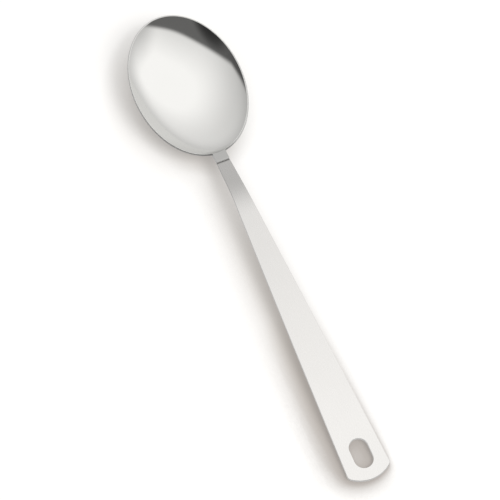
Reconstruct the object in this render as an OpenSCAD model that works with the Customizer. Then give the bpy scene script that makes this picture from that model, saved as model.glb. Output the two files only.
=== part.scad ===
// Serving spoon: a pressed oval bowl with a short tang, spot welded on top of a flat cranked handle.
// The handle runs along Y with its end at the back, the tip of the bowl points to +Y and Z is up.
// The spoon lies at rest on the plane Z = 0, which it touches with the bowl and the handle end.

/* [Bowl] */
// Length of the hollow, measured inside the rim
hollow_len = 101; // [86:1:114]
// Width of the hollow, measured inside the rim
hollow_w = 70; // [60:0.5:82]
// Depth of the hollow below the plane of the rim
hollow_depth = 15; // [13:0.5:18]
// Thickness of the pressed sheet
sheet_t = 1.1; // [0.8:0.1:1.6]
// Angle by which the rim rises from its heel to its tip
rim_tilt = 6; // [4:0.5:8]

/* [Tang] */
// Length of the flat tang between the rim and its cut end
tang_len = 6.5; // [6:0.5:12]
// Radius of the corners where the tang leaves the rim
tang_fillet_r = 1.5; // [1:0.5:3]

/* [Handle] */
// Length of the handle from its end to the cut end of the tang
handle_len = 224; // [180:1:260]
// Thickness of the handle strip
strip_t = 2; // [1.5:0.1:2.6]
// Width of the handle at its end, where its sides would meet the end without corners
handle_w = 27.2; // [23:0.2:32]
// Width of the handle at the crank
crank_w = 10; // [8.5:0.5:12]
// How far the sides bow outwards between the end and the crank, beyond straight lines
side_bow = 0.25; // [0.1:0.05:0.6]
// Width of the handle and the tang at the neck
neck_w = 8.6; // [7:0.2:10]
// Distance from the crank to the cut end of the tang
neck_len = 25; // [18:1:35]
// Angle at which the neck falls from the crank towards the bowl
neck_fall = 7; // [4:0.5:9]
// Radius of the crank on the underside
crank_r = 90; // [50:5:140]
// Radius of the convex end
end_r = 20; // [17:0.5:40]
// Radius of the two corners of the end
end_corner_r = 3; // [2:0.5:5]
// Length of the handle that runs on under the bowl, beyond its rim
lap_len = 16; // [12:0.5:18]
// Radius of the handle's bend under the heel of the bowl
heel_r = 5; // [3:0.5:8]

/* [Hanging slot] */
// Length of the slot
slot_len = 18.6; // [15:0.2:24]
// Width of the slot
slot_w = 11.6; // [8:0.2:13]
// Distance from the end of the handle to the middle of the slot
slot_from_end = 16.6; // [14:0.2:24]

/* [Spot welds] */
// Diameter of a weld nugget
weld_d = 4; // [3:0.2:5]
// Depth of a nugget in each of the two sheets
weld_bite = 0.6; // [0.4:0.05:0.65]
// Diameter of the electrode mark on the back of the handle
mark_d = 5; // [4:0.2:6]
// Depth of the electrode mark
mark_depth = 0.2; // [0.1:0.05:0.3]

/* [Hidden] */

// One overrun for every cut
over = 1;
// Points along a bend of the strip's side profile and along its bowed sides, and fineness of circles
bend_steps = 8;
side_steps = 8;
$fn = 64;

// The hollow is one side of a round form, turned about an axis along the bowl above its rim. The cut
// edge of the sheet is one side of a second round form, turned about an axis below the rim. Both
// pass through the same ellipse in the plane of the rim, and at its sides they are square to each other
half_len = hollow_len / 2;
half_w = hollow_w / 2;
axis_rise = (pow(half_w, 2) - pow(hollow_depth, 2)) / (2 * hollow_depth);
axis_drop = pow(half_w, 2) / axis_rise;

// Long section of such a form, from its axis at a height over the rim: a middle arc and a closer arc
// on each side, which meet smoothly at a joint, with the slope at the rim that belongs to an ellipse.
// Its values are the turn from the middle to the joint, then for the middle arc its radius and how
// far its middle is from the axis, and for the closer arc the same and how far its middle is along
function rim_slope(height) = atan(pow(half_w, 2) / (half_len * height));
function form(height) =
    let (across_r = sqrt(pow(half_w, 2) + pow(height, 2)))
    let (slope = rim_slope(height))
    let (chord = [half_len, across_r - height])
    let (reach = chord * [1 + cos(slope), sin(slope)])
    let (spread = 2 * (1 - cos(slope)))
    let (leg = (sqrt(reach * reach + spread * (chord * chord)) - reach) / spread)
    let (joint = (chord + leg * [1 - cos(slope), -sin(slope)]) / 2)
    let (turn = 2 * atan(joint[1] / joint[0]))
    let (middle_r = leg / tan(turn / 2))
    let (closer_r = leg / tan((slope - turn) / 2))
    let (apart = middle_r - closer_r)
    [turn, middle_r, across_r - middle_r, closer_r, across_r - middle_r + apart * cos(turn), apart * sin(turn)];
hollow_form = form(axis_rise);
edge_form = form(axis_drop);

// Arcs of the hollow's long section: turn at their joint, radii, and the middle of the closer arc
// along the bowl from its middle and above the plane of the rim
joint_turn = hollow_form[0];
long_r = hollow_form[1];
close_r = hollow_form[3];
close_mid = [hollow_form[5], axis_rise - hollow_form[4]];
edge_mid = [edge_form[5], edge_form[4] - axis_drop];

// The outer skin meets the cut edge where the closer arcs of both forms cross: along and above the rim
between = edge_mid - close_mid;
apart = norm(between);
skin_r = close_r + sheet_t;
leg_along = (apart * apart + skin_r * skin_r - edge_form[3] * edge_form[3]) / (2 * apart);
leg_across = sqrt(skin_r * skin_r - leg_along * leg_along);
edge = close_mid + (leg_along * between + leg_across * [-between[1], between[0]]) / apart;

// Sheet left between the bowl's outer skin and the top of the handle blank before the blank is fitted
fit_t = sheet_t / 2;

// Place of each weld: along the tang, and from the heel to the end of the lap
tang_weld_share = 0.5;
lap_weld_share = 0.55;

// The height of the rim's middle stands the outer skin on the plane Z = 0
rim_mid_z = long_r + sheet_t - (long_r - hollow_depth) * cos(rim_tilt);

// Places along the spoon, from the end of the handle
seam_y = handle_len;
crank_y = seam_y - neck_len;
rim_y = seam_y + tang_len;
bowl_mid_y = rim_y + edge * [cos(rim_tilt), sin(rim_tilt)];
total_len = bowl_mid_y + edge * [cos(rim_tilt), -sin(rim_tilt)];

// The top of the tang meets the plane of the rim inside the hollow, one sheet thickness past its edge
join_along = half_len - sheet_t;
join_y = bowl_mid_y - join_along * cos(rim_tilt);
join_z = rim_mid_z - join_along * sin(rim_tilt);

// Heights of the tang's top at the rim and at the seam, and of the handle's underside
rim_z = join_z + (join_y - rim_y) * tan(neck_fall);
tang_z = rim_z + tang_len * tan(neck_fall);
seam_under_z = tang_z - (sheet_t + strip_t) / cos(neck_fall);
crank_under_z = seam_under_z + neck_len * tan(neck_fall);
handle_rise = atan(crank_under_z / crank_y);

// Point on the spoon, as [y, z], of a point along and above the plane of the rim from its middle
function from_rim(along, above) =
    [bowl_mid_y, rim_mid_z] + along * [cos(rim_tilt), sin(rim_tilt)] + above * [-sin(rim_tilt), cos(rim_tilt)];

// Point of the long section towards the heel, where it falls at an angle, set off outwards
function long_section(fall, thick) =
    fall + rim_tilt < joint_turn
        ? from_rim(0, long_r - hollow_depth) - (long_r + thick) * [sin(fall), cos(fall)]
        : from_rim(-close_mid[0], close_mid[1]) - (close_r + thick) * [sin(fall), cos(fall)];

// Points of a bend that turns downwards round a corner of the underside, from a rise to a fall in
// degrees, on the underside or at a thickness above it
function bend(corner, rise, fall, r, thick) =
    let (turn = rise + fall)
    let (start = corner - r * tan(turn / 2) * [cos(rise), sin(rise)])
    let (mid = start + r * [sin(rise), -cos(rise)])
    [for (i = [0 : bend_steps])
        let (a = 90 + rise - turn * i / bend_steps)
        mid + (r + thick) * [cos(a), sin(a)]];

function reversed(points) = [for (i = [len(points) - 1 : -1 : 0]) points[i]];

// The lap: falls of the long section at the rim's heel, after the heel bend and at the hidden end
heel_fall = rim_slope(axis_rise) - rim_tilt;
lap_turn = lap_len / close_r * 180 / PI;
bend_turn_share = 0.12;
lap_fall = heel_fall - lap_turn * bend_turn_share;
end_fall = heel_fall - lap_turn;
function lap_arc(thick) =
    [for (i = [0 : bend_steps]) long_section(lap_fall + (end_fall - lap_fall) * i / bend_steps, thick)];
lap_under = lap_arc(sheet_t + strip_t);
lap_top = lap_arc(fit_t);
lap_end_y = lap_under[bend_steps][0];

// Corner of the underside, where the neck's line meets the line on which the lap starts
neck_tan = tan(neck_fall);
lap_tan = tan(lap_fall);
heel_dz = lap_under[0][1] - seam_under_z;
heel_y = (heel_dz + lap_under[0][0] * lap_tan - seam_y * neck_tan) / (lap_tan - neck_tan);
heel_corner = [heel_y, seam_under_z - (heel_y - seam_y) * neck_tan];

// Half of the width of the handle's tapered and bowed sides, and the taper at the end
taper = ((handle_w - crank_w) / 2 - side_bow * 4) / crank_y;
function side_at(y) = handle_w / 2 - taper * y - side_bow * 4 * pow(y / crank_y, 2);

// The handle's convex end: its corner arcs touch the end arc from inside, and the tapered sides
corner_x0 = handle_w / 2 - end_corner_r * sqrt(1 + taper * taper);
corner_b = corner_x0 * taper + end_r;
corner_c = pow(corner_x0, 2) + pow(end_r, 2) - pow(end_r - end_corner_r, 2);
corner_y = (corner_b - sqrt(corner_b * corner_b - (1 + taper * taper) * corner_c)) / (1 + taper * taper);
corner_x = corner_x0 - taper * corner_y;
side_x = corner_x + end_corner_r * cos(atan(taper));
side_y = corner_y + end_corner_r * sin(atan(taper));
arc_x = corner_x * end_r / (end_r - end_corner_r);
arc_y = end_r - (end_r - corner_y) * end_r / (end_r - end_corner_r);
side_points = [for (i = [1 : side_steps])
    let (y = side_y + (crank_y - side_y) * i / side_steps)
    [side_at(y), y]];

// The tang's concave corners touch its sides, and the rim's heel where its plan is an arc
heel_plan_r = pow(half_w + sheet_t * half_w / norm([half_w, axis_rise]), 2) / edge[0];
fillet_x = neck_w / 2 + tang_fillet_r;
fillet_y = rim_y + heel_plan_r - sqrt(pow(heel_plan_r + tang_fillet_r, 2) - pow(fillet_x, 2));
root_x = fillet_x * heel_plan_r / (heel_plan_r + tang_fillet_r);

// Sets what is drawn from the handle's end into the frame whose origin is under the spoon's middle
module set_in_frame() {
    translate([0, -total_len / 2, 0]) children();
}

// Sets what is drawn about the middle of the rim into its place on the spoon
module set_on_rim() {
    translate([0, bowl_mid_y, rim_mid_z]) rotate([rim_tilt, 0, 0]) children();
}

// Half of a form's long section, from its axis outwards, with sheet added: the middle arc and the two
// closer arcs
module half_section(form, thick) {
    arc_r = form[1] + thick;
    joint_along = arc_r * sin(form[0]);
    intersection() {
        translate([form[2], 0]) circle(r = arc_r);
        translate([0, -joint_along]) square([arc_r, joint_along * 2]);
    }
    for (side = [-1, 1])
        intersection() {
            translate([form[4], side * form[5]]) circle(r = form[3] + thick);
            translate([0, side * (joint_along + arc_r / 2 - over) - arc_r / 2]) square([arc_r, arc_r]);
        }
}

// Round form turned about an axis along the bowl, at a height over the plane of the rim
module turned_form(form, height, thick) {
    set_on_rim() translate([0, 0, height]) rotate([90, 0, 0])
        rotate_extrude() half_section(form, thick);
}

// Outer form of the bowl, from the outer skin to the cut edge
module outer_form() {
    intersection() {
        turned_form(hollow_form, axis_rise, sheet_t);
        turned_form(edge_form, -axis_drop, 0);
    }
}

// Flat tang: its plan has a concave corner on each side, where it leaves the rim
module tang_form() {
    root_y = join_y;
    translate([0, rim_y, rim_z]) rotate([-neck_fall, 0, 0]) translate([0, -rim_y, -sheet_t])
        difference() {
            union() {
                translate([-neck_w / 2, seam_y, 0]) cube([neck_w, root_y - seam_y, sheet_t]);
                translate([-root_x, fillet_y, 0]) cube([root_x * 2, root_y - fillet_y, sheet_t]);
            }
            for (side = [-1, 1])
                translate([side * fillet_x, fillet_y, -over])
                    cylinder(r = tang_fillet_r, h = sheet_t + over * 2);
        }
}

// Side profile of the handle blank, in [y, z], before it is fitted to the tang and the bowl
module side_profile() {
    crank_corner = [crank_y, crank_under_z];
    step_y = seam_y + fit_t;
    step_z = rim_z + (rim_y - step_y) * neck_tan;
    polygon(concat(
        [[0, 0]],
        bend(crank_corner, handle_rise, neck_fall, crank_r, 0),
        bend(heel_corner, -neck_fall, lap_fall, heel_r, 0),
        lap_under,
        reversed(lap_top),
        [long_section(heel_fall, fit_t), [rim_y, rim_z - fit_t], [step_y, step_z - fit_t]],
        [[step_y, step_z - sheet_t / cos(neck_fall)]],
        reversed(bend(crank_corner, handle_rise, neck_fall, crank_r, strip_t)),
        [[0, strip_t / cos(handle_rise)]]));
}

// Plan of the handle: a convex end with rounded corners, bowed sides and a round hidden end
module handle_plan(h) {
    round_y = lap_end_y - neck_w / 2;
    right = concat(
        [[arc_x, arc_y], [side_x, side_y]],
        side_points,
        [[neck_w / 2, seam_y], [neck_w / 2, round_y]]);
    linear_extrude(height = h)
        polygon(concat(right, reversed([for (p = right) [-p[0], p[1]]])));
    intersection() {
        translate([0, end_r, 0]) cylinder(r = end_r, h = h);
        translate([-handle_w / 2, -over, 0]) cube([handle_w, arc_y + over, h]);
    }
    for (side = [-1, 1])
        translate([side * corner_x, corner_y, 0]) cylinder(r = end_corner_r, h = h);
    translate([0, round_y, 0]) cylinder(d = neck_w, h = h);
}

// Handle blank: the bent strip, cut to its plan
module handle_blank() {
    tall = rim_mid_z + hollow_depth;
    intersection() {
        translate([-handle_w, 0, 0])
            rotate([90, 0, 90]) linear_extrude(height = handle_w * 2) side_profile();
        translate([0, 0, -over]) handle_plan(tall);
    }
}

// Punch of the hanging slot, square to the strip: a stadium with true round ends
module slot_punch() {
    reach = (slot_len - slot_w) / 2;
    rotate([handle_rise, 0, 0]) translate([0, slot_from_end, -over]) {
        for (end = [-1, 1])
            translate([0, end * reach, 0]) cylinder(d = slot_w, h = strip_t + over * 2);
        translate([-slot_w / 2, -reach, 0]) cube([slot_w, reach * 2, strip_t + over * 2]);
    }
}

// Sets what is drawn about the origin on each weld, where the handle and the bowl's sheet meet
module set_on_welds() {
    tang_weld_y = seam_y + tang_len * tang_weld_share;
    tang_weld_z = rim_z + (rim_y - tang_weld_y) * neck_tan - sheet_t / cos(neck_fall);
    lap_weld_fall = heel_fall - lap_turn * lap_weld_share;
    lap_weld = long_section(lap_weld_fall, sheet_t);
    translate([0, tang_weld_y, tang_weld_z]) rotate([-neck_fall, 0, 0]) children();
    translate([0, lap_weld[0], lap_weld[1]]) rotate([-lap_weld_fall, 0, 0]) children();
}

// Weld nuggets: short round slugs, half in the handle and half in the bowl's sheet
module nuggets() {
    set_on_welds() translate([0, 0, -weld_bite]) cylinder(d = weld_d, h = weld_bite * 2);
}

// Marks that the electrode leaves on the back of the handle, opposite each nugget
module electrode_marks() {
    set_on_welds() translate([0, 0, -strip_t - over]) cylinder(d = mark_d, h = mark_depth + over);
}

module bowl() {
    color("gainsboro") set_in_frame() difference() {
        union() {
            outer_form();
            tang_form();
        }
        turned_form(hollow_form, axis_rise, 0);
        nuggets();
    }
}

module handle() {
    color("silver") set_in_frame() difference() {
        handle_blank();
        outer_form();
        tang_form();
        slot_punch();
        nuggets();
        electrode_marks();
    }
}

module spot_welds() {
    color("darkgray") set_in_frame() nuggets();
}

bowl();
handle();
spot_welds();
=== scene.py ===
"""Serving spoon of stainless steel, hollow side up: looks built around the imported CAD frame."""
import bpy
import numpy as np
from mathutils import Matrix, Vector


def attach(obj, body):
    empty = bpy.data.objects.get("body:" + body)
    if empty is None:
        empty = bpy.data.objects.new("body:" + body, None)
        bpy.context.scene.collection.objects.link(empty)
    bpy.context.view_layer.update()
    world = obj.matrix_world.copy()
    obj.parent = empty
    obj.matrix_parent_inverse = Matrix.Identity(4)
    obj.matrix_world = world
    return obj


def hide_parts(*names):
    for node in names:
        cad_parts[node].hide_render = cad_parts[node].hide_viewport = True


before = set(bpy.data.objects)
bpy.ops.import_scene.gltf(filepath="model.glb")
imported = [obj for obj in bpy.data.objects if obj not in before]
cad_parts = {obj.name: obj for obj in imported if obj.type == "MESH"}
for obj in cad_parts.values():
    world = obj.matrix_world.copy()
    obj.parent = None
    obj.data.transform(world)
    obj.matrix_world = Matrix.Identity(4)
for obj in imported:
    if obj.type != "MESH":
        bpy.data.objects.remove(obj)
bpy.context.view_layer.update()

MM = 0.001

# Sizes of the spoon in millimetres and degrees, as in its CAD source
HOLLOW_L, HOLLOW_W, HOLLOW_D = 101.0, 70.0, 15.0
SHEET_T, RIM_TILT = 1.1, np.radians(6.0)
TANG_L, TANG_FILLET = 6.5, 1.5
HANDLE_L, STRIP_T = 224.0, 2.0
HANDLE_W, CRANK_W, NECK_W, SIDE_BOW = 27.2, 10.0, 8.6, 0.25
NECK_L, NECK_FALL, CRANK_R = 25.0, np.radians(7.0), 90.0
END_R, CORNER_R = 20.0, 3.0
LAP_L, HEEL_R = 16.0, 5.0
SLOT_L, SLOT_W, SLOT_Y = 18.6, 11.6, 16.6
MARK_D, MARK_DEPTH, MARK_SLOPE = 5.0, 0.2, 0.5
# How far the edges are rounded off, the soft bend where the tang leaves the rim, its corners
RIM_ROUND, TANG_ROUND, SKIN_ROUND, STRIP_ROUND = 0.5, 0.22, 0.2, 0.28
TANG_BEND, TANG_CORNER = 0.12, 0.35
# Shares of the lap's length taken up by the heel bend, and at which the second weld sits
BEND_SHARE, WELD_SHARE = 0.12, 0.55
# How much longer than square the outer skin is at the heel and the tip, as a share, and the
# share of the skin at which the edge along the rim has its foot
TIP_SHARE, RIM_FOOT = 0.0058, 0.985
# How far out from the rim the cut edge of the tang takes to get its full depth, and from where
# the edge counts as the tang's
EDGE_FADE, TANG_FROM = 1.2, 0.02
# Rings of the mesh in the hollow and on the outer skin
HOLLOW_RINGS, SKIN_RINGS = 64, 56
# How far beyond the seam the handle's top begins to follow the bowl's outer skin, and how far
# below the skin it stays
FIT_START, FIT_GAP = 0.5, 0.01

# ---------------------------------------------------------------- form of the hollow
# The hollow is the lower cap of a long spheroid, which is round about the spoon's long axis. Its
# centre lies RISE above the plane of the rim; HALF_A and HALF_B are its half length and half width.
HALF_L, HALF_W = HOLLOW_L / 2, HOLLOW_W / 2
HALF_B = (HALF_W ** 2 + HOLLOW_D ** 2) / (2 * HOLLOW_D)
HALF_A = HALF_B * HALF_L / HALF_W
RISE = HALF_B - HOLLOW_D
SIN_T, COS_T = np.sin(RIM_TILT), np.cos(RIM_TILT)


def section(turn, thick):
    """Point [s, r] of the long section at an angle from its middle, set off along its normal:
    s = HALF_A sin(turn) runs towards the tip and r = HALF_B cos(turn) is the distance from the
    long axis."""
    s, r = HALF_A * np.sin(turn), HALF_B * np.cos(turn)
    ns, nr = np.sin(turn) / HALF_A, np.cos(turn) / HALF_B
    size = np.hypot(ns, nr)
    return s + thick * ns / size, r + thick * nr / size


def skin(sweep, share, thick=SHEET_T):
    """Point [x, s, z] about the middle of the rim, a thickness off the hollow: the share of the
    way from the deepest point of the hollow to its rim, in a direction in plan. The hollow is
    z = RISE - HALF_B sqrt(1 - (s / HALF_A)^2 - (x / HALF_B)^2), and its normal has the parts
    x / HALF_B^2, s / HALF_A^2 and (z - RISE) / HALF_B^2."""
    px, ps = HALF_W * np.sin(sweep) * share, HALF_L * np.cos(sweep) * share
    z = RISE - HALF_B * np.sqrt(np.maximum(1 - (ps / HALF_A) ** 2 - (px / HALF_B) ** 2, 0))
    n = np.stack([px / HALF_B ** 2, ps / HALF_A ** 2, (z - RISE) / HALF_B ** 2], -1)
    n = n * thick / np.linalg.norm(n, axis=-1, keepdims=True)
    return px + n[..., 0], ps + n[..., 1], z + n[..., 2]


def edge_share(sweep):
    """Where the outer skin ends, 1 + TIP_SHARE cos^2(sweep): the sheet is cut square at the
    sides and a little less than square at the heel and the tip."""
    return 1 + TIP_SHARE * np.cos(sweep) ** 2


# Outer outline of the rim in plan from the heel to the tip, and its height about the rim's plane
RIM_SWEEP = np.linspace(np.pi, 0, 4001)
RIM_X, RIM_S, RIM_UP = skin(RIM_SWEEP, edge_share(RIM_SWEEP))
RIM_TURN, RIM_FAR = np.arctan2(RIM_X, RIM_S)[::-1], np.hypot(RIM_X, RIM_S)[::-1]
EDGE_S, EDGE_Z = RIM_S[-1], RIM_UP[-1]

# Places along the spoon, measured from the handle's end, and heights above the plane it rests on:
# the near end and the middle of the rim, the tip of the bowl, where the tang's underside joins the
# bowl, the top of the tang at the rim and at its cut end, the handle's underside at the seam and
# at the crank, and the slope of the handle up to there
RIM_Y = HANDLE_L + TANG_L
MID_Y = RIM_Y + EDGE_S * COS_T + EDGE_Z * SIN_T
TOTAL = MID_Y + EDGE_S * COS_T - EDGE_Z * SIN_T
MID_Z = np.hypot(HALF_A * SIN_T, HALF_B * COS_T) + SHEET_T - RISE * COS_T
JOIN_Y = MID_Y - (HALF_L - SHEET_T) * COS_T
RIM_Z = MID_Z - (HALF_L - SHEET_T) * SIN_T + (JOIN_Y - RIM_Y) * np.tan(NECK_FALL)
TANG_Z = RIM_Z + TANG_L * np.tan(NECK_FALL)
SEAM_UNDER = TANG_Z - (SHEET_T + STRIP_T) / np.cos(NECK_FALL)
CRANK_Y = HANDLE_L - NECK_L
CRANK_UNDER = SEAM_UNDER + NECK_L * np.tan(NECK_FALL)
HANDLE_RISE = np.arctan2(CRANK_UNDER, CRANK_Y)


def from_rim(x, s, z):
    """Points given about the middle of the rim (across, towards the tip, out of the rim's plane)
    as points about the handle's end."""
    return np.stack([x, MID_Y + s * COS_T - z * SIN_T, MID_Z + s * SIN_T + z * COS_T], -1)


def to_rim(p):
    """The opposite of from_rim."""
    y, z = p[..., 1] - MID_Y, p[..., 2] - MID_Z
    return p[..., 0], y * COS_T + z * SIN_T, -y * SIN_T + z * COS_T


def smoothstep(a, b, v):
    """0 below a, 1 above b, with a smooth cubic between them."""
    q = np.clip((v - a) / (b - a), 0, 1)
    return q * q * (3 - 2 * q)


def add_piece(name, verts, faces, node, slot, material):
    """Mesh object from points in millimetres about the handle's end. Points nearer than a micron
    are merged and faces left with fewer than three corners are dropped."""
    verts = np.asarray(verts, float).reshape(-1, 3) - [0, TOTAL / 2, 0]
    key = np.round(verts * 1000).astype(np.int64)
    _, first, same = np.unique(key, axis=0, return_index=True, return_inverse=True)
    same = same.reshape(-1)
    faces = same[np.asarray(faces)]
    verts = verts[first] * MM
    distinct = (faces != np.roll(faces, 1, axis=1)).sum(1)
    keep = faces[distinct == faces.shape[1]].tolist()
    for face in faces[distinct == faces.shape[1] - 1]:
        keep.append([v for k, v in enumerate(face) if v != face[k - 1]])
    mesh = bpy.data.meshes.new(name)
    mesh.from_pydata(verts.tolist(), [], keep)
    mesh.validate()
    mesh.polygons.foreach_set("use_smooth", np.ones(len(mesh.polygons), bool))
    mesh.update()
    mesh.materials.append(material)
    piece = bpy.data.objects.new(name, mesh)
    bpy.context.scene.collection.objects.link(piece)
    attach(piece, "root")
    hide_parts(node)


def grid_faces(rows, cols, wrap=False, flip=False):
    """Quads of a grid of points, rows x cols, whose columns may close on themselves."""
    r = np.arange(rows - 1)[:, None] * cols
    c = np.arange(cols if wrap else cols - 1)[None, :]
    d = (c + 1) % cols
    quads = np.stack([r + c, r + d, r + cols + d, r + cols + c], -1).reshape(-1, 4)
    return quads[:, ::-1] if flip else quads


def soften(rings, corner, cut, steps=4):
    """Replaces one ring of corner points by a short curve: each corner c is cut back to a and b
    towards the rings before and after it, and (1 - q)^2 a + 2 q (1 - q) c + q^2 b joins them.
    A cut takes up less than half of the way to the next ring."""
    here, before, after = rings[corner], rings[corner - 1], rings[corner + 1]

    def towards(there):
        way = there - here
        size = np.linalg.norm(way, axis=-1, keepdims=True) + 1e-9
        return here + way / size * np.minimum(cut, 0.45 * size)

    a, b = towards(before), towards(after)
    q = np.linspace(0, 1, steps + 1)[:, None, None]
    curve = (1 - q) ** 2 * a + 2 * q * (1 - q) * here + q ** 2 * b
    return rings[:corner] + list(curve) + rings[corner + 1:]


# ---------------------------------------------------------------- bowl with its tang
def rim_height(x, s):
    """How far the top of the tang stands out of the rim's plane: the tang rises towards the
    handle while the rim goes on falling, with a soft bend where the two meet, and the lift
    fades out across the fillets beside the tang. The lift is TANG_BEND ln(1 + e^v), v being the
    tang's height over the rim divided by TANG_BEND and kept between -40 and 40."""
    y = MID_Y + s * COS_T
    rim = MID_Z + s * SIN_T
    tang = RIM_Z + (RIM_Y - y) * np.tan(NECK_FALL)
    lift = TANG_BEND * np.log1p(np.exp(np.clip((tang - rim) / TANG_BEND, -40, 40)))
    fade = 1.6 * TANG_FILLET
    return lift * (1 - smoothstep(NECK_W / 2, NECK_W / 2 + fade, np.abs(x)))


def outer_skin(sweep, share):
    """Points of the outer skin, one sheet thickness off the hollow, about the handle's end."""
    return from_rim(*skin(sweep, share))


def rim_outline():
    """Outer outline of rim and tang in plan, [across, towards the tip], from the middle of the
    tang's end round one side to the tip: a straight cut end, a small quarter circle, a straight
    side, an arc that touches both the side and the rim, and the rim itself."""
    half, corner = NECK_W / 2, TANG_CORNER
    end_s = (HANDLE_L - MID_Y) / COS_T
    # the fillet's centre: the furthest place beside the tang that stays its radius off the rim
    centre_x = half + TANG_FILLET
    tries = np.linspace(-EDGE_S - TANG_FILLET - 1, -EDGE_S + 6, 1500)
    gap = np.hypot(RIM_X[None, ::10] - centre_x, RIM_S[None, ::10] - tries[:, None]).min(1)
    heel = slice(0, len(RIM_X) // 2)
    outside = np.interp(centre_x, RIM_X[heel], RIM_S[heel]) > tries
    centre_s = tries[outside & (gap >= TANG_FILLET)].max()
    near = np.hypot(RIM_X - centre_x, RIM_S - centre_s).argmin()
    touch = np.arctan2(RIM_S[near] - centre_s, RIM_X[near] - centre_x)
    end = np.stack([np.linspace(0, half - corner, 12), np.full(12, end_s)], -1)
    q = np.linspace(-np.pi / 2, 0, 6)[1:]
    tip = np.stack([half - corner + corner * np.cos(q), end_s + corner + corner * np.sin(q)], -1)
    side = np.stack([np.full(14, half), np.linspace(end_s + corner, centre_s, 16)[1:-1]], -1)
    q = np.linspace(np.pi, touch, 12)
    fillet = np.stack([centre_x + TANG_FILLET * np.cos(q), centre_s + TANG_FILLET * np.sin(q)], -1)
    # points round the rim, a little closer together beside the tang
    turn = np.arctan2(RIM_X[near], RIM_S[near]) * (1 - np.linspace(0, 1, 181)[1:] ** 1.12)
    far = np.interp(turn, RIM_TURN, RIM_FAR)
    rim = np.stack([far * np.sin(turn), far * np.cos(turn)], -1)
    return np.concatenate([end, tip, side, fillet, rim])


def bowl_mesh():
    """The pressed sheet as one closed skin of rings about the middle of the hollow: up the
    hollow from its pole, over the ground edge or the tang, and down the outer skin to its pole.
    A ring lies at one share of the way out along the spheroid or the skin that is parallel to
    it, or at one share of the straight way across the edge."""
    half = rim_outline()
    line = np.concatenate([half, (half * [-1, 1])[-2:0:-1]])
    x, s = line[:, 0], line[:, 1]
    reach = np.hypot(x / HALF_W, s / HALF_L)
    in_x, in_s = x / reach, s / reach

    # hollow: 1 - (f k)^2 = ((RISE - z) / HALF_B)^2 for the share f of the way to the rim, and
    # at its edge z is the lift of the tang there
    k = np.sqrt((in_s / HALF_A) ** 2 + (in_x / HALF_B) ** 2)
    edge_f = np.ones_like(k)
    for _ in range(3):
        lift = rim_height(in_x * edge_f, in_s * edge_f) * COS_T
        edge_f = np.sqrt(1 - ((RISE - lift) / HALF_B) ** 2) / k
    # the rings lie closer together towards the rim
    even = np.linspace(0, 1, HOLLOW_RINGS)
    rings = []
    for q in 0.5 * np.sin(even * np.pi / 2) + 0.5 * even:
        f = q * edge_f
        rings.append(from_rim(in_x * f, in_s * f, RISE - HALF_B * np.sqrt(1 - (f * k) ** 2)))
    inner_corner = len(rings) - 1
    # along the tang the top ends in a cut edge as deep as the sheet, along the rim it slopes down
    # to the outer skin; on_tang goes from 0 to 1 outwards from the rim
    turn = np.arctan2(np.abs(x), s)
    beyond = np.hypot(x, s) - np.interp(turn, RIM_TURN, RIM_FAR)
    on_tang = smoothstep(0.0, EDGE_FADE, beyond)
    depth = SHEET_T / np.cos(NECK_FALL) * on_tang
    up = np.interp(turn, RIM_TURN, RIM_UP[::-1])
    top = from_rim(x, s, up * (1 - on_tang))
    top[:, 2] += rim_height(x, s) * on_tang
    rings += [rings[-1] + (top - rings[-1]) * q for q in (0.25, 0.4, 0.6, 0.75)]
    outer_corner = len(rings)
    rings.append(top)
    # foot: where the underside of the tang runs into the outer skin, looked for from just outside
    # the rim inwards, and a little way down the skin along the rim; lower: the corner between the
    # edge and the underside
    sweep = np.arctan2(x / HALF_W, s / HALF_L)
    share = np.linspace(1.02, 0.6, 240)[:, None]
    outer = outer_skin(sweep[None], share)
    under = top[:, 2] - depth - (outer[..., 1] - top[:, 1]) * np.tan(NECK_FALL)
    foot_share = share[(outer[..., 2] <= under).argmax(0), 0]
    tang = beyond > TANG_FROM
    foot_share = np.where(tang, foot_share, RIM_FOOT)
    foot = outer_skin(sweep, foot_share)
    lower = top + (foot - top) * 0.5
    lower[tang] = top[tang]
    lower[tang, 2] -= depth[tang]
    lower_corner = len(rings)
    rings.append(lower)
    rings += [lower + (foot - lower) * q for q in (0.35, 0.7)]
    even = np.linspace(0, 1, SKIN_RINGS)
    for q in 1 - 0.4 * np.sin(even * np.pi / 2) - 0.6 * even:
        rings.append(outer_skin(sweep, foot_share * q))
    # the edge of the rim is rounded off over almost half of the sheet, the tang's less
    round_off = (RIM_ROUND - (RIM_ROUND - TANG_ROUND) * on_tang)[:, None]
    rings = soften(rings, lower_corner, SKIN_ROUND)
    rings = soften(rings, outer_corner, round_off)
    rings = soften(rings, inner_corner, round_off)
    points = np.stack(rings)
    return points.reshape(-1, 3), grid_faces(len(points), len(x), wrap=True, flip=True)


# ---------------------------------------------------------------- handle
RISE_TAN, FALL_TAN = np.tan(HANDLE_RISE), np.tan(NECK_FALL)
TAPER = ((HANDLE_W - CRANK_W) / 2 - SIDE_BOW * 4) / CRANK_Y


def under_section(fall, thick):
    """Point [y, z] of the bowl's long section where it falls at an angle towards the tip, set
    off outwards from the hollow: tan(turn) = -tan(fall + RIM_TILT) HALF_A / HALF_B."""
    turn = -np.arctan2(np.tan(fall + RIM_TILT) * HALF_A, HALF_B)
    s, r = section(turn, thick)
    p = from_rim(s * 0, s, RISE - r)
    return p[..., 1], p[..., 2]


# Fall of the hollow at its heel, where it meets the rim
HEEL_FALL = np.arctan2(HALF_B ** 2 * HALF_L, HALF_A ** 2 * RISE) - RIM_TILT


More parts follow.
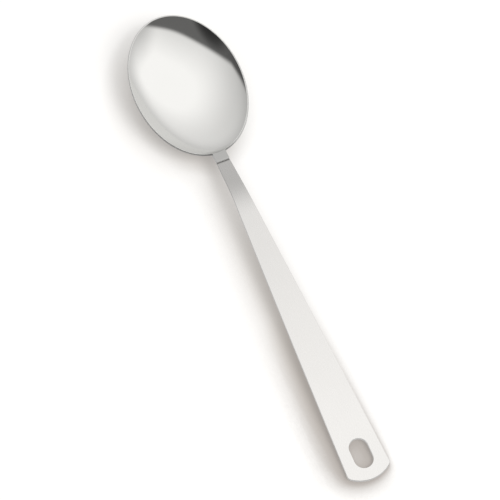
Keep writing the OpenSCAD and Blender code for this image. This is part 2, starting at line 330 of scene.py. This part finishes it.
def lap_falls(count):
    """Falls of the long section from the heel bend to the hidden end of the lap, at even steps
    of its length."""
    falls = np.linspace(HEEL_FALL, 0, 2001)
    y, z = under_section(falls, 0)
    length = np.concatenate([[0], np.cumsum(np.hypot(np.diff(y), np.diff(z)))])
    return np.interp(np.linspace(BEND_SHARE, 1, count) * LAP_L, length, falls)


LAP_Y, LAP_Z = under_section(lap_falls(200), SHEET_T + STRIP_T)
LAP_FALL, END_FALL = lap_falls(2)
LAP_END = LAP_Y[-1]
ROUND_Y = LAP_END - NECK_W / 2
WELD_FALL = np.interp(WELD_SHARE, [0, 1], [HEEL_FALL, END_FALL])
# Middles of the two electrode marks: under the tang, and under the heel of the bowl
MARK_YS = HANDLE_L + TANG_L / 2, under_section(WELD_FALL, SHEET_T + STRIP_T)[0]


def line_corner():
    """Corner of the underside, where the neck's line meets the line on which the lap starts."""
    dz = LAP_Z[0] - SEAM_UNDER
    y = (dz + LAP_Y[0] * np.tan(LAP_FALL) - HANDLE_L * FALL_TAN) / (np.tan(LAP_FALL) - FALL_TAN)
    return y, SEAM_UNDER - (y - HANDLE_L) * FALL_TAN


def bent(y, corner, rise, fall, radius, z):
    """Puts an arc that touches the two lines of a corner in place of the corner, bulging
    upwards: z = mid_z + sqrt(radius^2 - (y - mid_y)^2) between the points where it touches."""
    turn = rise + fall
    start_y = corner[0] - radius * np.tan(turn / 2) * np.cos(rise)
    start_z = corner[1] - radius * np.tan(turn / 2) * np.sin(rise)
    mid_y, mid_z = start_y + radius * np.sin(rise), start_z - radius * np.cos(rise)
    end_y = mid_y + radius * np.sin(fall)
    arc = mid_z + np.sqrt(np.maximum(radius ** 2 - (y - mid_y) ** 2, 0))
    return np.where((y > start_y) & (y < end_y), arc, z)


def underside(x, y):
    """Height of the handle's back: a straight rise, the crank, the neck, the bend under the
    heel, and the lap that follows the bowl, with the two round marks of the weld electrodes."""
    corner = line_corner()
    z = np.where(y < CRANK_Y, y * RISE_TAN, CRANK_UNDER - (y - CRANK_Y) * FALL_TAN)
    z = np.where(y > corner[0], LAP_Z[0] - (y - LAP_Y[0]) * np.tan(LAP_FALL), z)
    z = np.where(y > LAP_Y[0], np.interp(y, LAP_Y, LAP_Z), z)
    z = bent(y, (CRANK_Y, CRANK_UNDER), HANDLE_RISE, NECK_FALL, CRANK_R, z)
    z = bent(y, corner, -NECK_FALL, LAP_FALL, HEEL_R, z)
    for mark_y in MARK_YS:
        far = np.hypot(x, y - mark_y)
        z = z + MARK_DEPTH * (1 - smoothstep(MARK_D / 2 - MARK_SLOPE, MARK_D / 2, far))
    return z


def skin_height(x, y):
    """Height of the bowl's outer skin under a point of the plan, found by halving the search.
    A point is one sheet thickness off the hollow's form where (k - 1) / slope = SHEET_T, with
    k^2 = (s / HALF_A)^2 + (x^2 + (z - RISE)^2) / HALF_B^2 and the slope of k there. Where
    there is no skin, the height is far above the spoon."""
    low, high = y * 0, MID_Z + (y - MID_Y) * np.tan(RIM_TILT) + 3
    top = high
    for _ in range(30):
        z = (low + high) / 2
        px, ps, pz = to_rim(np.stack([x, y, z], -1))
        pz = pz - RISE
        k = np.sqrt((ps / HALF_A) ** 2 + (px ** 2 + pz ** 2) / HALF_B ** 2)
        slope = np.sqrt(ps ** 2 / HALF_A ** 4 + (px ** 2 + pz ** 2) / HALF_B ** 4) / k
        outside = (k - 1) / slope > SHEET_T
        low, high = np.where(outside, z, low), np.where(outside, high, z)
    return np.where(high > top - 0.001, top + 100, low)


def topside(x, y):
    """Height of the handle's top: the strip's thickness above its back, square to it, and under
    the bowl no higher than a hundredth below the outer skin."""
    thick = STRIP_T / np.cos(HANDLE_RISE)
    z = np.where(y < CRANK_Y, y * RISE_TAN + thick,
                 CRANK_UNDER + STRIP_T / np.cos(NECK_FALL) - (y - CRANK_Y) * FALL_TAN)
    # the top's own corner over the crank, and the same arc one strip thickness further out
    top_y = CRANK_Y + (STRIP_T / np.cos(NECK_FALL) - thick) / (RISE_TAN + FALL_TAN)
    z = bent(y, (top_y, top_y * RISE_TAN + thick), HANDLE_RISE, NECK_FALL, CRANK_R + STRIP_T, z)
    fitted = y > HANDLE_L + FIT_START
    z[fitted] = np.minimum(z[fitted], skin_height(x[fitted], y[fitted]) - FIT_GAP)
    return z


def handle_outline():
    """Right half of the handle's plan as [x, y, normal x, normal y], with y rising all the way:
    the convex end, its corner arc, the tapered side, the neck and the round hidden end. With
    it, the y at which the corner arc starts and ends. The side is
    x = HANDLE_W / 2 - TAPER y - 4 SIDE_BOW (y / CRANK_Y)^2. The arc touches the end's arc and
    the side's line, so its middle lies on x = corner_x0 - TAPER y, END_R - CORNER_R from the
    middle of the end's arc: (1 + TAPER^2) y^2 - 2 b y + c = 0."""
    corner_x0 = HANDLE_W / 2 - CORNER_R * np.sqrt(1 + TAPER ** 2)
    b = corner_x0 * TAPER + END_R
    c = corner_x0 ** 2 + END_R ** 2 - (END_R - CORNER_R) ** 2
    corner_y = (b - np.sqrt(b * b - (1 + TAPER ** 2) * c)) / (1 + TAPER ** 2)
    corner_x = corner_x0 - TAPER * corner_y
    side_y = corner_y + CORNER_R * np.sin(np.arctan(TAPER))
    swing = np.arctan2(corner_x, END_R - corner_y)
    q = np.linspace(0, swing, 400)
    end = np.stack([END_R * np.sin(q), END_R - END_R * np.cos(q), np.sin(q), -np.cos(q)], -1)
    q = np.linspace(swing - np.pi / 2, np.arctan(TAPER), 200)[1:]
    arc = np.stack([corner_x + CORNER_R * np.cos(q), corner_y + CORNER_R * np.sin(q),
                    np.cos(q), np.sin(q)], -1)
    lean = np.arctan((CRANK_W - NECK_W) / 2 / NECK_L)
    y = np.linspace(side_y, CRANK_Y, 60)[1:]
    slope = TAPER + 8 * SIDE_BOW * y / CRANK_Y ** 2
    bowed = np.stack([HANDLE_W / 2 - TAPER * y - 4 * SIDE_BOW * (y / CRANK_Y) ** 2, y,
                      np.cos(slope), np.sin(slope)], -1)
    neck = np.array([[CRANK_W / 2, CRANK_Y + 0.01, np.cos(lean), np.sin(lean)],
                     [NECK_W / 2, HANDLE_L, np.cos(lean), np.sin(lean)],
                     [NECK_W / 2, HANDLE_L + 0.01, 1, 0]])
    q = np.linspace(0, np.pi / 2, 200)
    tip = np.stack([NECK_W / 2 * np.cos(q), ROUND_Y + NECK_W / 2 * np.sin(q),
                    np.cos(q), np.sin(q)], -1)
    return np.concatenate([end, arc, bowed, neck, tip]), end[-1, 1], side_y


def handle_mesh():
    """The strip as two mirrored halves, each a grid of rows across it: from the middle or the
    slot's edge out over the top, round the edge, back under and, beside the slot, up its wall.
    The heights are those of topside and underside over the plan."""
    outline, arc_y, side_y = handle_outline()
    mid = SLOT_Y * np.cos(HANDLE_RISE) - STRIP_T / 2 * np.sin(HANDLE_RISE)
    near, far = mid - SLOT_L / 2, mid + SLOT_L / 2
    radius, ease = SLOT_W / 2, STRIP_ROUND
    turn = np.linspace(0, np.pi / 2, 13)
    # where the rows lie: round the end and its corner, round the slot, every 4 mm along the plain
    # strip, every 1 mm over the crank and the neck, every 0.4 mm along the lap, round its end
    stations = np.concatenate([
        END_R * (1 - np.cos(np.linspace(0, 1, 22) * np.arccos(1 - arc_y / END_R))),
        np.linspace(arc_y, side_y, 9)[1:],
        [near - 1.6, near - 0.8], near + radius * (1 - np.cos(turn)),
        np.linspace(near + radius, far - radius, 6)[1:-1], far - radius * (1 - np.cos(turn)),
        [far + 0.8, far + 1.6], np.arange(far + 4, CRANK_Y - 16, 4.0),
        np.arange(CRANK_Y - 14, HANDLE_L - 1, 1.0), [HANDLE_L - 0.5],
        np.arange(HANDLE_L, ROUND_Y, 0.4),
        ROUND_Y + NECK_W / 2 * np.sin(np.linspace(0, np.pi / 2, 16))])
    # no row falls on the rounded edge before or beyond the slot
    gap = (stations > near - ease - 0.1) & (stations < near - 0.001)
    gap |= (stations < far + ease + 0.1) & (stations > far + 0.001)
    y = np.unique(np.round(stations[~gap], 4))
    y[-1] = LAP_END
    near_row, far_row = np.abs(y - near).argmin(), np.abs(y - far).argmin()
    y[near_row], y[far_row] = near, far
    out = np.stack([np.interp(y, outline[:, 1], outline[:, k]) for k in range(4)], -1)
    out[0] = [0, 0, 0, -1]
    out[-1] = [0, LAP_END, 0, 1]
    # the slot's edge on each row, and the direction from the metal into the slot
    along = np.clip(y, near + radius, far - radius)
    slot_x = np.sqrt(np.maximum(radius ** 2 - (y - along) ** 2, 0))
    rows = np.arange(len(y))
    beside = (rows >= near_row) & (rows <= far_row)
    slot_x[~beside | (rows == near_row) | (rows == far_row)] = 0
    into = np.stack([-slot_x, along - y], -1) / radius
    into[~beside] = 0
    # rim and lip: where the flat of the strip ends and its rounded edges begin
    rim = out[:, :2] - out[:, 2:] * ease
    hole = np.stack([slot_x, y], -1)
    lip = hole - into * ease
    # near both ends the middle line stops where the rounded edge begins
    lip[~beside, 1] = np.clip(y, ease, LAP_END - ease)[~beside]

    def lifted(line, side):
        """A line of the plan at the height of the handle's top or back."""
        return np.concatenate([line, side(line[:, 0], line[:, 1])[:, None]], -1)

    shares = np.array([0, 0.03, 0.1, 0.2, 0.35, 0.5, 0.65, 0.8, 0.9, 0.97, 1])
    top = [lifted(lip + (rim - lip) * q, topside) for q in shares]
    back = [lifted(lip + (rim - lip) * q, underside) for q in shares[::-1]]

    def edge(line, above, below):
        """Lines down a rounded edge, between a line of the top and a line of the back."""
        upper, lower = lifted(line, topside), lifted(line, underside)
        lines = [above, upper, upper * 0.5 + lower * 0.5, lower, below]
        return soften(soften(lines, 3, ease), 1, ease)[1:-1]

    outer = edge(out[:, :2], top[-1], back[0])
    wall = edge(hole, top[0], back[-1])[::-1]
    lines = np.stack(top + outer + back + wall + top[:1], 1)
    faces = grid_faces(len(y), lines.shape[1])
    # the wall's faces are there beside the slot alone
    body = len(top) + len(outer) + len(back) - 1
    cell_row, cell_col = np.divmod(np.arange(len(faces)), lines.shape[1] - 1)
    faces = faces[(cell_col < body) | ((cell_row >= near_row) & (cell_row < far_row))]
    right = lines.reshape(-1, 3)
    left = right * [-1, 1, 1]
    return np.concatenate([right, left]), np.concatenate([faces, faces[:, ::-1] + len(right)])


# ---------------------------------------------------------------- finishes
# Where the finishes and the painted light and shade change along the spoon, in metres from the
# middle of its length: the tang's cut end, which is painted lighter, the end of the painted shade
# on the tang's top, the beginning of the ground edge, the painted shade that darkens the handle
# from its broad end towards the crank, and the painted shade of the neck
CUT_END, TANG_SHADE_FADE, GROUND_EDGE = (0.05757, 0.05766), (0.0635, 0.069), (0.0655, 0.0675)
SHADE_ALONG_HANDLE, SHADE_AT_NECK = (-0.13, 0.02), (0.0145, 0.0385)
# Distances from the middle line between which the tang's edge gives way to the rim's
TANG_SIDE = (0.0044, 0.0054)


def linear(code):
    """Linear colour of an sRGB hex code."""
    c = np.array([int(code[k:k + 2], 16) for k in (1, 3, 5)]) / 255
    c = np.where(c <= 0.04045, c / 12.92, ((c + 0.055) / 1.055) ** 2.4)
    return (*c.tolist(), 1.0)


def add(tree, kind, inputs=(), **settings):
    """A node with its settings and inputs. The inputs come by name or in the node's own order,
    and each is a value or a socket to link."""
    node = tree.nodes.new(kind)
    for key, value in settings.items():
        setattr(node, key, value)
    for key, value in inputs.items() if isinstance(inputs, dict) else enumerate(inputs):
        if isinstance(value, bpy.types.NodeSocket):
            tree.links.new(value, node.inputs[key])
        else:
            node.inputs[key].default_value = value
    return node


def new_material(name):
    """An empty node material and its tree."""
    material = bpy.data.materials.new(name)
    material.use_nodes = True
    material.node_tree.nodes.clear()
    return material, material.node_tree


def polished_steel():
    """18/10 stainless steel sheet, pressed and then polished on a soft wheel: almost a mirror,
    with the faint haze and the fine hairlines that the wheel leaves."""
    material, tree = new_material("polished_stainless_steel")
    place = add(tree, "ShaderNodeTexCoord").outputs["Object"]
    axes = add(tree, "ShaderNodeSeparateXYZ", (place,)).outputs
    # wheel marks drawn out along the bowl, and haze in patches of 11 mm. Real marks are a few
    # hundredths of a millimetre apart; these are 0.3 mm apart, so that they show
    stretch = add(tree, "ShaderNodeMapping", {"Vector": place, "Scale": (3300.0, 260.0, 900.0)})
    marks = add(tree, "ShaderNodeTexNoise", {"Vector": stretch.outputs[0], "Scale": 1.0,
                "Detail": 3.0, "Roughness": 0.6}).outputs["Fac"]
    haze = add(tree, "ShaderNodeTexNoise", {"Vector": place, "Scale": 90.0,
               "Detail": 4.0}).outputs["Fac"]
    rough = add(tree, "ShaderNodeMapRange", (haze, 0.0, 1.0, 0.05, 0.09)).outputs[0]
    tint = add(tree, "ShaderNodeMix", {"Factor": haze, "A": linear("#D4D4D3"),
               "B": linear("#D6D6D5")}, data_type="RGBA").outputs[2]
    # painted shade: the tint of the tang's top is painted darker, 0.58 of the bowl's, fading out
    # over the heel of the bowl, and its cut end face carries a painted highlight, 2.2 times lighter
    # than the tang's top
    tang_shade = add(tree, "ShaderNodeMapRange", (axes["Y"], *TANG_SHADE_FADE, 0.58, 1.0),
                  interpolation_type="SMOOTHSTEP").outputs[0]
    cut_end_highlight = add(tree, "ShaderNodeMapRange", (axes["Y"], *CUT_END, 2.2, 1.0)).outputs[0]
    share = add(tree, "ShaderNodeMath", (tang_shade, cut_end_highlight), operation="MULTIPLY").outputs[0]
    tint = add(tree, "ShaderNodeMix", {"Factor": share, "A": linear("#000000"), "B": tint},
               data_type="RGBA", clamp_factor=False).outputs[2]
    # the cut edge of the rim is ground and only lightly buffed, which blurs what it shows. In the
    # rim's own frame the hollow's outline is a circle of radius 1 and heights are millimetres,
    # and the edge lies beyond that circle, not much over 1 mm below it, and off the tang
    about_rim = add(tree, "ShaderNodeMapping", {
        "Vector": place, "Location": (0.0, (MID_Y - TOTAL / 2) * MM, MID_Z * MM),
        "Rotation": (RIM_TILT, 0.0, 0.0), "Scale": (HALF_W * MM, HALF_L * MM, MM)},
        vector_type="TEXTURE").outputs[0]
    plan = add(tree, "ShaderNodeVectorMath", (about_rim, (1.0, 1.0, 0.0)),
               operation="MULTIPLY").outputs[0]
    far = add(tree, "ShaderNodeVectorMath", (plan,), operation="LENGTH").outputs["Value"]
    height = add(tree, "ShaderNodeSeparateXYZ", (about_rim,)).outputs["Z"]
    across = add(tree, "ShaderNodeMath", (axes["X"],), operation="ABSOLUTE").outputs[0]
    beyond, upper, beside, ahead = [
        add(tree, "ShaderNodeMapRange", (value, *span)).outputs[0]
        for value, span in ((far, (0.998, 1.003)), (height, (-1.3, -1.0)), (across, TANG_SIDE),
                            (axes["Y"], GROUND_EDGE))]
    off_tang = add(tree, "ShaderNodeMath", (beside, ahead), operation="MAXIMUM").outputs[0]
    ground = add(tree, "ShaderNodeMath", (beyond, upper), operation="MULTIPLY").outputs[0]
    ground = add(tree, "ShaderNodeMath", (ground, off_tang), operation="MULTIPLY").outputs[0]
    rough = add(tree, "ShaderNodeMix", {"Factor": ground, "A": rough, "B": 0.5}).outputs[0]
    bump = add(tree, "ShaderNodeBump", {"Strength": 0.05, "Distance": 0.00002,
               "Height": marks}).outputs[0]
    shader = add(tree, "ShaderNodeBsdfPrincipled", {
        "Base Color": tint, "Metallic": 1.0, "Roughness": rough, "Normal": bump}).outputs[0]
    add(tree, "ShaderNodeOutputMaterial", {"Surface": shader})
    return material


def brushed_steel():
    """18/10 stainless steel strip with a satin finish from belt grinding along its length: soft
    reflections and fine lengthwise lines."""
    material, tree = new_material("satin_stainless_steel")
    place = add(tree, "ShaderNodeTexCoord").outputs["Object"]
    # grinding lines 15 mm long, and haze in patches of 17 mm. Real lines are about 0.05 mm apart;
    # these are 0.25 mm apart, so that they show
    stretch = add(tree, "ShaderNodeMapping", {"Vector": place, "Scale": (4000.0, 70.0, 1500.0)})
    grain = add(tree, "ShaderNodeTexNoise", {"Vector": stretch.outputs[0], "Scale": 1.0,
                "Detail": 4.0, "Roughness": 0.65}).outputs["Fac"]
    haze = add(tree, "ShaderNodeTexNoise", {"Vector": place, "Scale": 60.0,
               "Detail": 3.0}).outputs["Fac"]
    rough = add(tree, "ShaderNodeMapRange", (grain, 0.0, 1.0, 0.24, 0.32)).outputs[0]
    tint = add(tree, "ShaderNodeMix", {"Factor": haze, "A": linear("#D3D2D1"),
               "B": linear("#D6D5D4")}, data_type="RGBA").outputs[2]
    # painted light and shade: the tint is lightest at the broad end, painted a little darker along
    # the handle, and painted dark grey from the crank to the bowl
    along = add(tree, "ShaderNodeSeparateXYZ", (place,)).outputs["Y"]
    shade_along_handle = add(tree, "ShaderNodeMapRange", (along, *SHADE_ALONG_HANDLE, 1.0, 0.85)).outputs[0]
    shade_at_neck = add(tree, "ShaderNodeMapRange", (along, *SHADE_AT_NECK, 1.0, 0.7),
               interpolation_type="SMOOTHSTEP").outputs[0]
    share = add(tree, "ShaderNodeMath", (shade_along_handle, shade_at_neck), operation="MULTIPLY").outputs[0]
    tint = add(tree, "ShaderNodeMix", {"Factor": share, "A": linear("#000000"), "B": tint},
               data_type="RGBA").outputs[2]
    bump = add(tree, "ShaderNodeBump", {"Strength": 0.08, "Distance": 0.00003,
               "Height": grain}).outputs[0]
    shader = add(tree, "ShaderNodeBsdfPrincipled", {
        "Base Color": tint, "Metallic": 1.0, "Roughness": rough, "Normal": bump}).outputs[0]
    add(tree, "ShaderNodeOutputMaterial", {"Surface": shader})
    return material


def weld_steel():
    """Steel melted and set again inside a resistance spot weld: matt, with a grain of 0.4 mm,
    coarser than the real one so that it would show."""
    material, tree = new_material("fused_weld_steel")
    place = add(tree, "ShaderNodeTexCoord").outputs["Object"]
    grain = add(tree, "ShaderNodeTexNoise", {"Vector": place, "Scale": 2500.0,
                "Detail": 3.0}).outputs["Fac"]
    tint = add(tree, "ShaderNodeMix", {"Factor": grain, "A": linear("#8E8B86"),
               "B": linear("#A7A49F")}, data_type="RGBA").outputs[2]
    rough = add(tree, "ShaderNodeMapRange", (grain, 0.0, 1.0, 0.4, 0.6)).outputs[0]
    shader = add(tree, "ShaderNodeBsdfPrincipled", {
        "Base Color": tint, "Metallic": 1.0, "Roughness": rough}).outputs[0]
    add(tree, "ShaderNodeOutputMaterial", {"Surface": shader})
    return material


# ---------------------------------------------------------------- pieces
steel_polished, steel_brushed, steel_weld = polished_steel(), brushed_steel(), weld_steel()
add_piece("pressed_bowl", *bowl_mesh(), "bowl", "bowl_steel", steel_polished)
add_piece("ground_handle", *handle_mesh(), "handle", "handle_steel", steel_brushed)
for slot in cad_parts["spot_welds"].material_slots:
    slot.material = steel_weld


# ---------------------------------------------------------------- floor, light and camera
# Places along the spoon, in metres from the middle of its length, between which the floor's
# shade changes: from the handle's end, which lies on the floor, to the handle's middle, and from
# the neck to the bowl
HANDLE_END, UNDER_BOWL = (-0.16, -0.05), (0.04, 0.09)
# Half the side of the floor in metres
FLOOR_HALF = 6


def studio_floor():
    """Matt white board, a flat square so wide that no view shows its edge."""
    mesh = bpy.data.meshes.new("studio_floor")
    corners = [(x * FLOOR_HALF, y * FLOOR_HALF, 0) for x, y in ((-1, -1), (1, -1), (1, 1), (-1, 1))]
    mesh.from_pydata(corners, [], [(0, 1, 2, 3)])
    floor = bpy.data.objects.new("studio_floor", mesh)
    bpy.context.scene.collection.objects.link(floor)
    material, tree = new_material("matt_white_board")
    place = add(tree, "ShaderNodeTexCoord").outputs["Object"]
    # paper fibre in flecks of 2.5 mm, too faint to be seen
    fibre = add(tree, "ShaderNodeTexNoise", {"Vector": place, "Scale": 400.0,
                "Detail": 3.0}).outputs["Fac"]
    tint = add(tree, "ShaderNodeMix", {"Factor": fibre, "A": linear("#FAF9F8"),
               "B": linear("#FBFAF9")}, data_type="RGBA").outputs[2]
    # soft contact shadow, from how much of the space above the board is open: towards the lamp's
    # side within 19 to 26 mm and, less strongly, towards the right and the bowl within 14 mm. It
    # is taken more strongly, and with a darker colour, at the handle's end, and less round the
    # bowl
    along = add(tree, "ShaderNodeSeparateXYZ", (place,)).outputs["Y"]
    end = add(tree, "ShaderNodeMapRange", (along, *HANDLE_END, 10.5, 3.0)).outputs[0]
    bowl_part = add(tree, "ShaderNodeMapRange", (along, *UNDER_BOWL, 1.0, 0.34),
                    interpolation_type="SMOOTHSTEP").outputs[0]
    strength = add(tree, "ShaderNodeMath", (end, bowl_part), operation="MULTIPLY").outputs[0]
    shares = []
    for towards, near, far, part in (((0.70, -0.56, 0.36), 0.019, 0.026, 1.0),
                                     ((0.50, 0.70, 0.50), 0.013, 0.014, 0.45)):
        side = add(tree, "ShaderNodeCombineXYZ", towards).outputs[0]
        reach = add(tree, "ShaderNodeMapRange", (along, *HANDLE_END, near, far)).outputs[0]
        opened = add(tree, "ShaderNodeAmbientOcclusion", {"Normal": side, "Distance": reach},
                     samples=16).outputs["AO"]
        power = add(tree, "ShaderNodeMath", (strength, part), operation="MULTIPLY").outputs[0]
        shares.append(add(tree, "ShaderNodeMath", (opened, power), operation="POWER").outputs[0])
    both = add(tree, "ShaderNodeMath", shares, operation="MULTIPLY").outputs[0]
    depth = add(tree, "ShaderNodeMapRange", (along, -0.15, -0.05)).outputs[0]
    deepest = add(tree, "ShaderNodeMix", {"Factor": depth, "A": linear("#B2ACA7"),
                  "B": linear("#BEB8B2")}, data_type="RGBA").outputs[2]
    shade = add(tree, "ShaderNodeMix", {"Factor": both, "A": deepest, "B": tint},
                data_type="RGBA").outputs[2]
    board = add(tree, "ShaderNodeBsdfPrincipled", {
        "Base Color": shade, "Roughness": 0.9, "Specular IOR Level": 0.1}).outputs[0]
    # half of what the camera sees along the handle, and a third round the bowl, is the board's own
    # white in the shade's colour, which softens the lamp's shadow; metal shows the white board
    # without the shadows on it
    ray = add(tree, "ShaderNodeLightPath").outputs
    own = add(tree, "ShaderNodeEmission", {"Color": shade, "Strength": 1.05}).outputs[0]
    white = add(tree, "ShaderNodeMapRange", (bowl_part, 0.34, 1.0, 0.35, 0.52)).outputs[0]
    share = add(tree, "ShaderNodeMath", (white, ray["Is Camera Ray"]),
                operation="MULTIPLY").outputs[0]
    board = add(tree, "ShaderNodeMixShader", (share, board, own)).outputs[0]
    plain = add(tree, "ShaderNodeEmission", {"Color": linear("#FAF9F8"), "Strength": 0.8})
    seen = add(tree, "ShaderNodeMixShader", (ray["Is Glossy Ray"], board, plain.outputs[0]))
    add(tree, "ShaderNodeOutputMaterial", {"Surface": seen.outputs[0]})
    mesh.materials.append(material)


def facing(side, height):
    """Direction with a side, in degrees from the front (-Y) round to the right (+X), and a height
    in degrees: x = sin(side) cos(height), y = -cos(side) cos(height), z = sin(height)."""
    side, height = np.radians(side), np.radians(height)
    return [float(v) for v in (np.sin(side) * np.cos(height), -np.cos(side) * np.cos(height),
                               np.sin(height))]


def studio_world():
    """Bright studio round the spoon, made for the metal to mirror: a ceiling that is brighter to
    the right and beyond the spoon, a dark part of the room on the camera's side, under three
    slopes, which stops short of the floor and leaves the front right open, and a room that gets
    dimmer low down beyond the spoon. Only metal sees it; the camera sees white and the floor
    gets an even light."""
    world = bpy.data.worlds.new("studio_room")
    bpy.context.scene.world = world
    world.use_nodes = True
    tree = world.node_tree
    tree.nodes.clear()
    way = add(tree, "ShaderNodeTexCoord").outputs["Generated"]

    # level[name] is a number for each way that a ray can leave. The first ones say how far the
    # way goes in a direction; one square to a slope tells how far the way is above the slope
    square = 90
    directions = {
        "up": (0.0, 0.0, 1.0), "bright_side": (0.308, 0.550, 0.201),
        "right": facing(48.2, 0), "front_right": facing(32.0, 0), "left": facing(-74.3, 20.0),
        "slope_1": facing(-23.2, 55.4 + square), "slope_2": facing(-34.3, 56.4 + square),
        "slope_3": facing(-52.9, 35.9 + square), "far_slope": facing(-175.9, 58.7 + square)}
    level = {name: add(tree, "ShaderNodeVectorMath", (way, direction),
                       operation="DOT_PRODUCT").outputs["Value"]
             for name, direction in directions.items()}
    # the lower of two levels, with a soft bend where they are nearly the same
    for name, one, other, bend in (("two_slopes", "slope_1", "slope_2", 0.06),
                                   ("slopes", "two_slopes", "slope_3", 0.01)):
        level[name] = add(tree, "ShaderNodeMath", (level[one], level[other], bend),
                          operation="SMOOTH_MIN").outputs[0]
    # smooth steps: what each follows, between which two levels, and from what to what. A patch
    # begins at its half width in degrees and is whole close to its middle
    patch = 0.995
    steps = {
        "low_ceiling": ("up", 0.0, 0.431, 0.752, 1.0),
        "dim_right": ("right", np.cos(np.radians(53.5)), patch, 1.0, 0.538),
        "under_slopes": ("slopes", -0.05, 0.05, 1.0, 0.0),
        "off_floor": ("up", 0.03, 0.15, 0.0, 1.0),
        "open_front_right": ("front_right", np.cos(np.radians(36.0)), patch, 1.0, 0.0),
        "darker_left": ("left", np.cos(np.radians(25.0)), patch, 1.0, 0.24),
        "beyond": ("far_slope", -0.9, 0.9, 1.0, 0.0),
        "dim_beyond": ("beyond", 0.0, 1.0, 1.0, 0.53)}
    for name, (source, *span) in steps.items():
        level[name] = add(tree, "ShaderNodeMapRange", (level[source], *span),
                          interpolation_type="SMOOTHSTEP").outputs[0]
    level["bright"] = add(tree, "ShaderNodeMath", (level["bright_side"], 1.205),
                          operation="ADD").outputs[0]
    for name, (first, *others) in {
            "ceiling": ("bright", "low_ceiling", "dim_right"),
            "dark_part": ("under_slopes", "off_floor", "open_front_right")}.items():
        level[name] = level[first]
        for other in others:
            level[name] = add(tree, "ShaderNodeMath", (level[name], level[other]),
                              operation="MULTIPLY").outputs[0]
    dark_room = add(tree, "ShaderNodeMath", (level["darker_left"], 0.177),
                    operation="MULTIPLY").outputs[0]
    seen = add(tree, "ShaderNodeMix", {"Factor": level["dark_part"], "A": level["ceiling"],
               "B": dark_room}).outputs[0]
    seen = add(tree, "ShaderNodeMath", (seen, level["dim_beyond"]),
               operation="MULTIPLY").outputs[0]
    # nothing in the room is brighter than this
    seen = add(tree, "ShaderNodeMath", (seen, 1.385), operation="MINIMUM").outputs[0]

    metal, lit, white = [
        add(tree, "ShaderNodeBackground", {"Color": linear(code), "Strength": strength}).outputs[0]
        for code, strength in (("#FFFEFC", seen), ("#FFFEFC", 0.8), ("#FFFFFF", 1.0))]
    ray = add(tree, "ShaderNodeLightPath").outputs
    both = add(tree, "ShaderNodeMixShader", (ray["Is Glossy Ray"], lit, metal)).outputs[0]
    out = add(tree, "ShaderNodeMixShader", (ray["Is Camera Ray"], both, white)).outputs[0]
    add(tree, "ShaderNodeOutputWorld", {"Surface": out})


def soft_lamp():
    """One big soft lamp to the right and in front, which draws the shadow to the left."""
    data = bpy.data.lights.new("soft_lamp", "AREA")
    data.shape, data.size, data.size_y = "RECTANGLE", 0.9, 0.7
    data.energy = 12.0
    lamp = bpy.data.objects.new("soft_lamp", data)
    bpy.context.scene.collection.objects.link(lamp)
    lamp.location = Vector((0.55, -0.7, 1.1))
    lamp.rotation_euler = (-lamp.location).to_track_quat("-Z", "Y").to_euler()
    lamp.visible_glossy = False


def photo_camera():
    """Camera of the photograph: 63 degrees above the floor, in front and 23 degrees to the left,
    1.2 m from the spoon, on a lens of 141 mm."""
    aim, way, far = Vector((-0.008447, -0.004616, 0.008)), Vector(facing(-23.133, 63.067)), 1.198404
    data = bpy.data.cameras.new("photo_camera")
    data.sensor_width, data.lens = 36.0, 141.22
    camera = bpy.data.objects.new("photo_camera", data)
    bpy.context.scene.collection.objects.link(camera)
    camera.location = aim + way * far
    camera.rotation_euler = (-way).to_track_quat("-Z", "Y").to_euler()
    bpy.context.scene.camera = camera


studio_floor()
studio_world()
soft_lamp()
photo_camera()
bpy.context.scene.view_settings.view_transform = "Standard"
